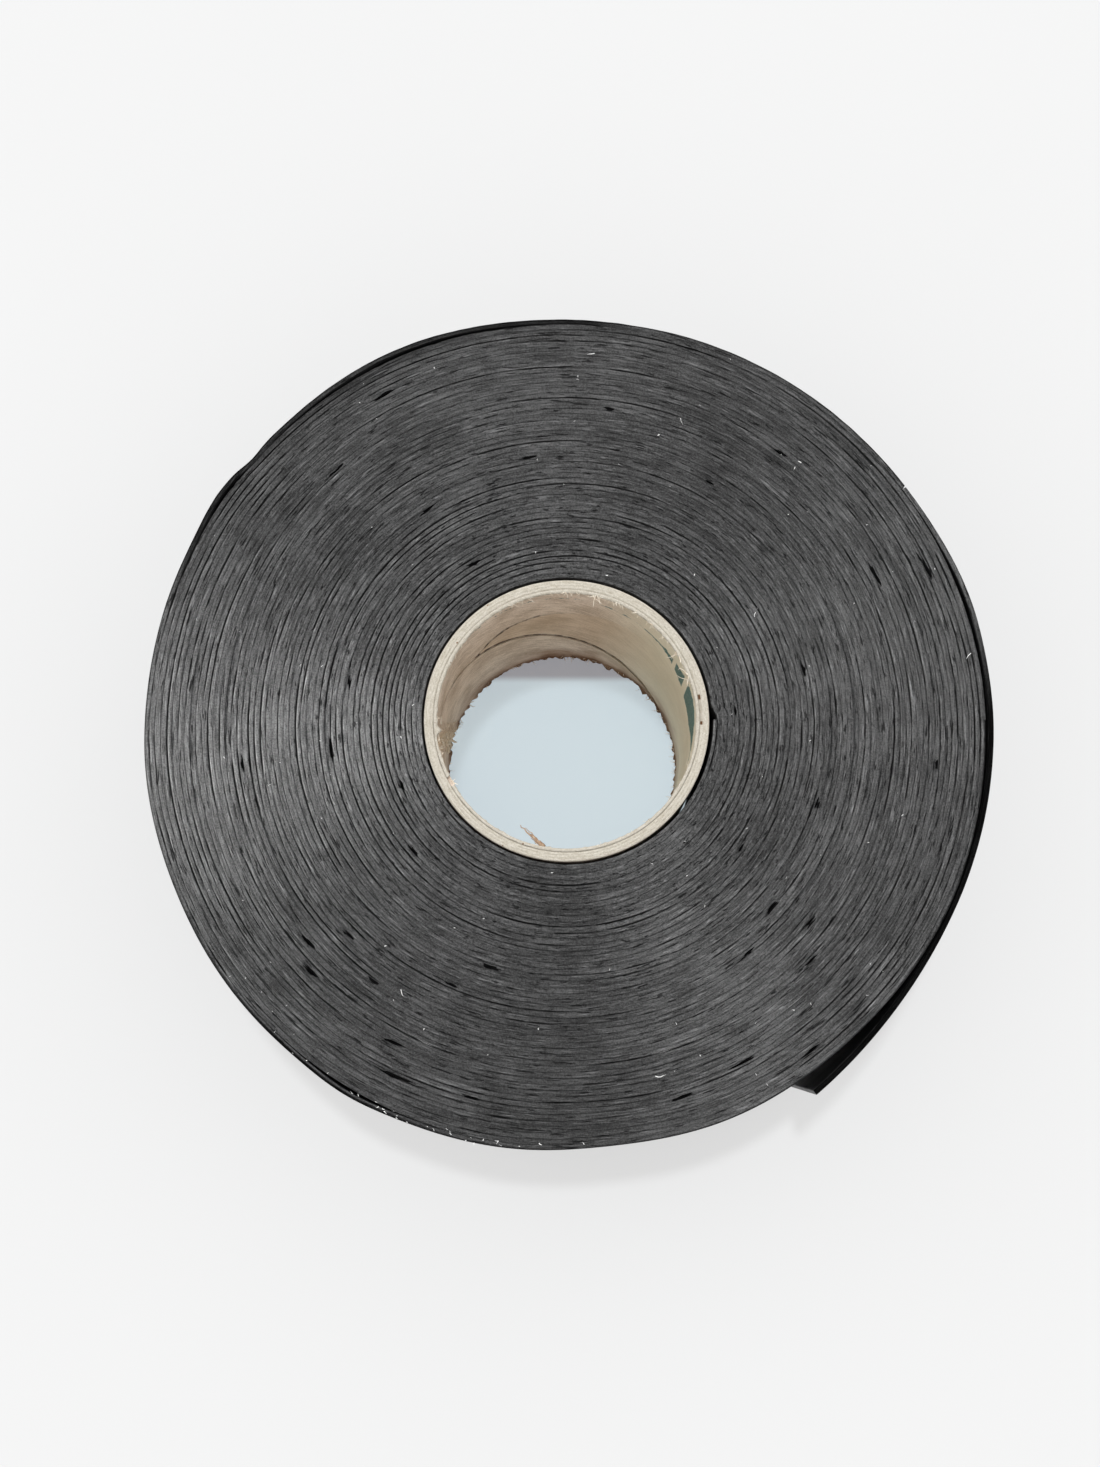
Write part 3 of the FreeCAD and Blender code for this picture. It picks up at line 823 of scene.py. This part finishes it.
def core_liner(rng, materials):
    """The inner ply: a strip wound once round, with an open helical seam, rough rims and a torn patch."""
    rows = 76
    u = np.linspace(0.0, 360.0, 601)[:, None]
    seam_waves = Wave(rng, 60.0, 7.0), Wave(rng, 60.0, 2.3)

    def lay(z):
        """Angle of each point from the seam's start, leaving the seam's gap open."""
        gap = 1.9 + 0.6 * seam_waves[0](z) + 0.35 * seam_waves[1](z)
        return helix_angle(z) + gap + u * (1 - gap / 180.0)

    fuzz, burrs, nibble = Wave(rng, 400.0, 1.3), Wave(rng, 400.0, 1.9), Wave(rng, 400.0, 0.8)
    foot = np.maximum(0.30 + 0.30 * burrs(u) + 0.12 * nibble(u), 0.03)
    share = np.linspace(0.0, 1.0, rows)[None, :]
    inner_z = foot + (WIDTH - 0.2 - foot) * share
    angle = lay(inner_z)
    inner_r = np.full(inner_z.shape, BORE + 0.02)
    for around_wave, up_wave in [(Wave(rng, 800.0, 14.0), Wave(rng, 60.0, 9.0)) for _ in range(4)]:
        inner_r += 0.035 * around_wave(angle % 360.0 + 20) * up_wave(inner_z)
    # burrs stand into the bore along the lower rim, and a few along the upper one
    stick = np.clip(burrs(u + 3.0), 0, 1) * 0.55 + np.clip(nibble(u), 0, 1) * 0.25
    inner_r -= stick * smooth(1 - inner_z / 1.3)
    inner_r -= np.clip(fuzz(u + 9.0), 0.2, 1) * 0.22 * smooth((inner_z - (WIDTH - 1.0)) / 1.0)
    # the seam's lips curl in a little
    inner_r -= 0.12 * np.exp(-np.minimum(u, 360 - u) / 1.2)
    torn = torn_patch(angle, inner_z)
    inner_r += 0.15 * torn
    inner_r -= 0.60 * bump(near(-angle, peeled_at(inner_z)), 4.6, 1.1) * smooth(inner_z / 2.0)
    ends = np.ones((len(u), 1))
    wall_r = np.concatenate([inner_r[:, :1] + 0.08, inner_r, ends * (BORE + 0.12)], 1)
    wall_z = np.concatenate([foot * 0.5, inner_z, WIDTH - 0.06 + 0.03 * fuzz(u)], 1)
    back_z = np.concatenate([foot * 0.5, inner_z, WIDTH - 0.04 + 0.03 * nibble(u)], 1)
    back_r = np.full(back_z.shape, BORE + PLY - 0.01)
    z = np.concatenate([wall_z, back_z[:, ::-1]], 1)
    radius = np.concatenate([wall_r, back_r[:, ::-1]], 1)
    points = polar(radius, -lay(z), z)
    material = np.zeros(z.shape[1], int)
    # the upper rim, then the lower one
    material[rows - 1:rows + 4] = 1
    material[-3:] = 1
    tones = np.zeros(z.shape)
    tones[:, 1:rows + 1] = torn
    mesh = tube_mesh("core_liner", points, materials, material, {"torn": tones}, ladder=True)
    return add_object("core_liner", mesh)


def peeled_at(z):
    """Bearing of the middle of the peeled strip of the core's wall at a height."""
    return 170.0 + (WIDTH - z) * 0.55


def torn_patch(angle, z):
    """From 0 to 1, where a strip of the liner's surface has peeled."""
    ragged = 1.2 * np.sin(z * 1.9) + 0.8 * np.sin(z * 4.7 + 1.0)
    return smooth((5.4 + ragged - np.abs(near(-angle, peeled_at(z)))) / 1.6)


def core_tube(rng, materials):
    """The outer plies: a closed tube whose rims are rounded a little and ridged where the plies meet."""
    bearing = np.linspace(0.0, 360.0, 481)[:-1]
    inner, outer = BORE + PLY + 0.01, CORE - 0.01
    fuzz = [Wave(rng, 360.0, 1.1) for _ in range(8)]  # two of the ten columns use one again
    share = np.array([0.0, 0.06, 0.30, 0.345, 0.39, 0.64, 0.68, 0.72, 0.94, 1.0])
    height = np.array([-0.20, -0.05, 0.0, -0.06, 0.0, 0.0, -0.05, 0.0, -0.05, -0.22])
    top_r = inner + (outer - inner) * share
    noise = np.stack([fuzz[column % 8](bearing) for column in range(len(share))], 1)
    top_z = WIDTH - 0.05 + height + 0.035 * noise
    low_z = np.maximum(0.06 - height[::-1] + 0.035 * noise, 0.01)
    wall_z = np.repeat(np.array([[WIDTH - 1.5, WIDTH / 2, 1.5]]), len(bearing), 0)
    z = np.concatenate([top_z, wall_z, low_z, wall_z[:, ::-1]], 1)
    radius = np.concatenate([top_r, np.full(3, outer), top_r[::-1], np.full(3, inner)])
    radius = np.repeat(radius[None, :], len(bearing), 0)
    # rims of cut board, and painted shade on the inner wall, which shows through the inner ply's seam
    rim = len(share) - 1
    index = np.zeros(z.shape[1], int)
    index[:rim] = 1
    index[rim + 4:2 * rim + 4] = 1
    index[2 * rim + 4:] = 2
    points = polar(radius, bearing[:, None], z)
    return add_object("core_tube", ring_mesh("core_tube", points, materials, index))


def ring_mesh(name, points, materials, face_material):
    """A closed ring from rings of points: as tube_mesh, but the last ring joins the first."""
    steps, ring = points.shape[:2]
    quads, column = ring_quads(steps, steps, ring)
    unmarked = {"torn": np.zeros(steps * ring)}
    return new_mesh(name, points, quads.tolist(), materials, face_material[column], len(quads), unmarked)


# -------- fibres and lint


class Threads:
    """Many thin tapered threads gathered in one mesh."""

    SIDES = 5

    def __init__(self):
        self.points, self.faces = [], []

    def add(self, line, width, flat=0.6):
        """A thread along a line of points, in millimetres, that thins to nothing at its far end."""
        line = np.asarray(line, float)
        line[:, 2] = np.clip(line[:, 2], 0.15, WIDTH + 0.35)
        tangent = np.gradient(line, axis=0)
        tangent /= np.linalg.norm(tangent, axis=1, keepdims=True) + 1e-9
        side = np.cross(tangent, [0.31, 0.17, 0.93])
        side /= np.linalg.norm(side, axis=1, keepdims=True) + 1e-9
        other = np.cross(tangent, side)
        taper = np.linspace(1, 0.25, len(line))[:, None] * width / 2
        base, sides = len(self.points), self.SIDES
        for step in range(len(line)):
            for corner in range(sides):
                a = 2 * math.pi * corner / sides
                out = side[step] * math.cos(a) + other[step] * math.sin(a) * flat
                point = line[step] + out * taper[step]
                self.points.append(point)
        for step in range(len(line) - 1):
            for corner in range(sides):
                a = base + step * sides + corner
                b = base + step * sides + (corner + 1) % sides
                self.faces.append((a, b, b + sides, a + sides))
        self.faces.append(tuple(range(base + sides - 1, base - 1, -1)))
        end = base + (len(line) - 1) * sides
        self.faces.append(tuple(range(end, end + sides)))

    def object(self, name, material):
        count = len(self.faces)
        mesh = new_mesh(name, np.array(self.points), self.faces, [material], np.zeros(count), count, {})
        return add_object(name, mesh)


def curl(rng, start, heading, length, bend, points):
    """A wandering line from start, in millimetres."""
    line = [np.array(start, float)]
    heading = np.array(heading, float)
    heading /= np.linalg.norm(heading)
    turn = rng.standard_normal(3) * bend
    for _ in range(points - 1):
        heading = heading + turn / points + rng.standard_normal(3) * 0.18 * bend
        heading /= np.linalg.norm(heading)
        line.append(line[-1] + heading * length / (points - 1))
    return line


def outward(bearing):
    a = math.radians(bearing)
    return np.array([math.cos(a), -math.sin(a), 0.0])


def inward(bearing):
    return -outward(bearing)


def sideways(bearing):
    return outward(bearing + 90.0)


def ring_point(radius, bearing, z):
    return radius * outward(bearing) + np.array([0.0, 0.0, z])


def core_fibres(rng, material):
    """Paper fibres that the cutter left standing at the core's rims, a torn tuft and a long sliver."""
    threads = Threads()
    for _ in range(120):
        bearing = rng.uniform(0, 360) if rng.random() < 0.45 else rng.normal(-75, 38)
        start = ring_point(BORE + rng.uniform(0.0, 0.15), bearing, WIDTH - rng.uniform(0.05, 0.5))
        heading = inward(bearing) * rng.uniform(0.1, 0.8) + sideways(bearing) * rng.normal(0, 0.8)
        heading[2] = rng.uniform(-0.9, 0.02)
        threads.add(curl(rng, start, heading, rng.uniform(0.35, 1.3), 0.7, 5), rng.uniform(0.05, 0.12))
    for _ in range(150):
        bearing = rng.uniform(0, 360)
        start = ring_point(BORE + 0.05, bearing, rng.uniform(0.2, 0.9))
        heading = inward(bearing) * rng.uniform(0.3, 1.0) + sideways(bearing) * rng.normal(0, 0.6)
        heading[2] = rng.uniform(-0.05, 0.4)
        threads.add(curl(rng, start, heading, rng.uniform(0.4, 1.2), 0.5, 4), rng.uniform(0.08, 0.22))
    # tufts at the far side and the right of the upper rim
    tufts = (
        (-91.0, 4, 1.1), (-76.4, 5, 1.9), (-67.0, 3, 0.9), (-57.0, 5, 0.9),
        (-48.0, 4, 1.1), (-31.0, 3, 2.2), (-20.0, 5, 2.4), (150.0, 3, 1.2),
    )
    for bearing, count, size in tufts:
        for _ in range(count):
            at = bearing + rng.normal(0, 0.9)
            start = ring_point(BORE + 0.05, at, WIDTH - 0.15)
            heading = inward(at) * 0.5 + sideways(at) * rng.normal(0, 0.9) + np.array([0, 0, -0.5])
            line = curl(rng, start, heading, size * rng.uniform(0.6, 1.1), 1.2, 8)
            threads.add(line, rng.uniform(0.13, 0.24))
    # ragged paper along the peeled strip
    for _ in range(34):
        z = rng.uniform(3.0, WIDTH - 1.0)
        bearing = peeled_at(z) + rng.normal(0, 3.4)
        heading = inward(bearing) * rng.uniform(0.05, 0.22) + sideways(bearing) * rng.normal(0, 0.5)
        heading[2] = rng.uniform(-1.0, 0.8)
        line = curl(rng, ring_point(BORE + 0.02, bearing, z), heading, rng.uniform(0.7, 1.7), 0.4, 5)
        threads.add(line, rng.uniform(0.3, 0.8), flat=0.25)
    return threads.object("core_fibres", material)


def sliver(rng, material):
    """A long splinter of the liner that stands into the bore at the front."""
    threads = Threads()
    base, tip = ring_point(BORE - 0.05, 100.2, WIDTH - 1.0), ring_point(17.0, 113.8, WIDTH - 1.2)
    for width, reach, pull in ((0.85, 0.62, 0.1), (0.55, 1.0, 0.0), (0.35, 0.75, 0.6), (0.3, 0.5, -0.7)):
        line = [base + (tip - base) * t + inward(104.0) * pull * t for t in np.linspace(0, reach, 12)]
        line = [point + rng.standard_normal(3) * 0.09 for point in line]
        threads.add(line, width, flat=0.35)
    return threads.object("core_sliver", material)


def lint(rng, material):
    """Pale specks and hairs that cling to the sticky slit edges."""
    threads = Threads()
    for _ in range(95):
        radius = math.sqrt(rng.uniform(22.0**2, 60.5**2))
        bearing = rng.uniform(0, 360)
        size = rng.uniform(0.12, 0.42) if rng.random() < 0.86 else rng.uniform(0.9, 1.9)
        start = ring_point(radius, bearing, WIDTH - 0.04)
        heading = rng.standard_normal(3) * np.array([1, 1, 0.05])
        threads.add(curl(rng, start, heading, size, 0.5 if size < 0.5 else 1.4, 5), rng.uniform(0.06, 0.16))
    # dust gathered at the front edge
    for _ in range(30):
        bearing = rng.normal(112, 13)
        radius = path_radius(TURNS, bearing) + shape_of_roll(ROLL, bearing) - rng.uniform(0.15, 1.1)
        heading = rng.standard_normal(3) * np.array([1, 1, 0.05])
        start = ring_point(radius, bearing, WIDTH - 0.06)
        threads.add(curl(rng, start, heading, rng.uniform(0.15, 0.6), 0.8, 4), rng.uniform(0.06, 0.14))
    return threads.object("lint", material)


# -------- stage


def floor_and_light():
    size = 40.0
    mesh = bpy.data.meshes.new("floor")
    corners = [(-size, -size, 0), (size, -size, 0), (size, size, 0), (-size, size, 0)]
    mesh.from_pydata(corners, [], [(0, 1, 2, 3)])
    floor = add_object("floor", mesh)
    material, n = new_material("floor_white")
    place, x, y, z = n.place()
    clouds = n.noise(place, 0.006, 2.0, 0.5)
    paper = n.mix(clouds, (0.518, 0.517, 0.516, 1), (0.540, 0.539, 0.538, 1))
    # painted light and shadow: under the bore it is tinted bluish like the light that reaches it, and a
    # painted shadow darkens its far side
    shaded = n.ramp(y, BORE - 4.6, BORE - 3.0)
    patch = n.mix(shaded, (0.428, 0.504, 0.552, 1), (0.245, 0.250, 0.275, 1))
    colour = n.mix(n.ramp(n.radius(x, y), BORE + 9, BORE + 1), paper, patch)
    n.fill(n.shader, {"Base Color": colour, "Roughness": n.mix_number(clouds, 0.7, 0.8)})
    mesh.materials.append(material)

    key = area("key", (-0.05, 0.145, 1.45), (0, 0, 0), 0.07, 4.6, (0.95, 0.98, 1.0))
    key.visible_glossy = False
    sun = bpy.data.lights.new("floor_fill", "SUN")
    sun.energy = 2.7
    sun.use_shadow = False
    link(add_object("floor_fill", sun), "on_floor", [floor])
    world = bpy.data.worlds.new("studio")
    world.use_nodes = True
    background = world.node_tree.nodes["Background"]
    background.inputs["Color"].default_value = (1.0, 1.0, 1.0, 1)
    background.inputs["Strength"].default_value = 0.66
    bpy.context.scene.world = world


def area(name, place, towards, size, power, colour):
    light = bpy.data.lights.new(name, "AREA")
    light.shape = "DISK"
    light.size = size
    light.energy = power
    light.color = colour
    lamp = add_object(name, light)
    lamp.location = place
    lamp.rotation_euler = (Vector(towards) - Vector(place)).to_track_quat("-Z", "Y").to_euler()
    return lamp


def side_lights(pieces):
    """Lights for the slit edges and the bore's wall, most of them low. None of them lights the floor."""
    top = area("top", (-0.05, 0.11, 1.45), (0, 0, 0), 0.22, 6.2, (0.95, 0.98, 1.0))
    top.visible_glossy = False
    link(top, "under_top", pieces)
    for name, place, size, power in (
        ("left", (-1.20, 0.04, 0.50), 0.40, 31.0),
        ("front_right", (0.64, -1.05, 0.52), 0.45, 12.0),
        ("back", (0.02, 1.15, 0.55), 0.40, 5.0),
    ):
        lamp = area(name, place, (0, 0, 0.03), size, power, (1.0, 0.99, 0.975))
        link(lamp, "lit_by_" + name, [p for p in pieces if name == "back" or "core" not in p.name])


def link(lamp, name, lit):
    """Let a lamp light only some objects."""
    lamp.light_linking.receiver_collection = bpy.data.collections.new(name)
    for piece in lit:
        lamp.light_linking.receiver_collection.objects.link(piece)


def camera():
    place = Vector((-4.86, -54.18, 359.38)) * MM
    elevation, pan = math.radians(80.51), math.radians(0.44)
    side = Vector((1, 0, 0))
    ahead = Vector((0, math.cos(elevation), -math.sin(elevation)))
    right = side * math.cos(pan) - ahead * math.sin(pan)
    forward = side * math.sin(pan) + ahead * math.cos(pan)
    up = right.cross(forward)
    data = bpy.data.cameras.new("camera")
    data.sensor_width = 36.0
    data.lens = 52.96
    data.clip_start = 0.01
    lens = add_object("camera", data)
    rows = [[right[i], up[i], -forward[i], place[i]] for i in range(3)]
    lens.matrix_world = Matrix(rows + [[0, 0, 0, 1]])
    bpy.context.scene.camera = lens


# -------- the whole


def ride_and_replace(piece, body, slot, *nodes):
    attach(piece, body)
    if nodes:
        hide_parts(*nodes)


def main():
    plain_colours()
    camera()
    floor_and_light()
    rng = np.random.default_rng(20)
    edge, face = slit_edge_material(), tape_face_material()
    wall, rim, underply_shade = board_wall_material(), board_rim_material(), underply_shade_material()
    tape_materials = [edge, face]

    windings = Windings(rng)
    for first in range(0, TURNS - 1, TURNS_PER_BAND):
        last = min(first + TURNS_PER_BAND, TURNS - 1)
        span = f"turns_{first + 1:02d}_{last:02d}"
        band = wound_band(rng, windings, first, last, tape_materials)
        ride_and_replace(band, "roll", "tape_backing", f"backing_{span}", f"adhesive_{span}")
    ripple = surface_ripple(rng)
    wrap = outer_wrap(rng, windings, ripple, tape_materials)
    ride_and_replace(wrap, "roll", "tape_backing", "backing_outer_wrap", "adhesive_outer_wrap")

    for number in range(1, SEGMENTS + 1):
        strip, low, high = tail_piece(rng, ripple, number, tape_materials)
        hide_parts(f"backing_tail_{number}", f"adhesive_tail_{number}")
        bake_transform(strip)

    liner = core_liner(rng, [wall, rim])
    ride_and_replace(liner, "roll", "core_board", "core_ply_1")
    tube = core_tube(rng, [wall, rim, underply_shade])
    ride_and_replace(tube, "roll", "core_board", "core_ply_2", "core_ply_3", "core_ply_4")
    paper = fibre_material("paper_fibre", (0.700, 0.580, 0.440, 1), (0.950, 0.880, 0.760, 1))
    ride_and_replace(core_fibres(rng, paper), "roll", "core_board")
    kraft = fibre_material("kraft_splinter", (0.300, 0.180, 0.110, 1), (0.520, 0.380, 0.270, 1))
    ride_and_replace(sliver(rng, kraft), "roll", "core_board")
    pale = fibre_material("lint_fibre", (0.400, 0.400, 0.400, 1), (0.800, 0.800, 0.790, 1))
    ride_and_replace(lint(rng, pale), "roll", "tape_backing")

    side_lights([o for o in bpy.data.objects if o.type == "MESH" and o.name != "floor"])


main()
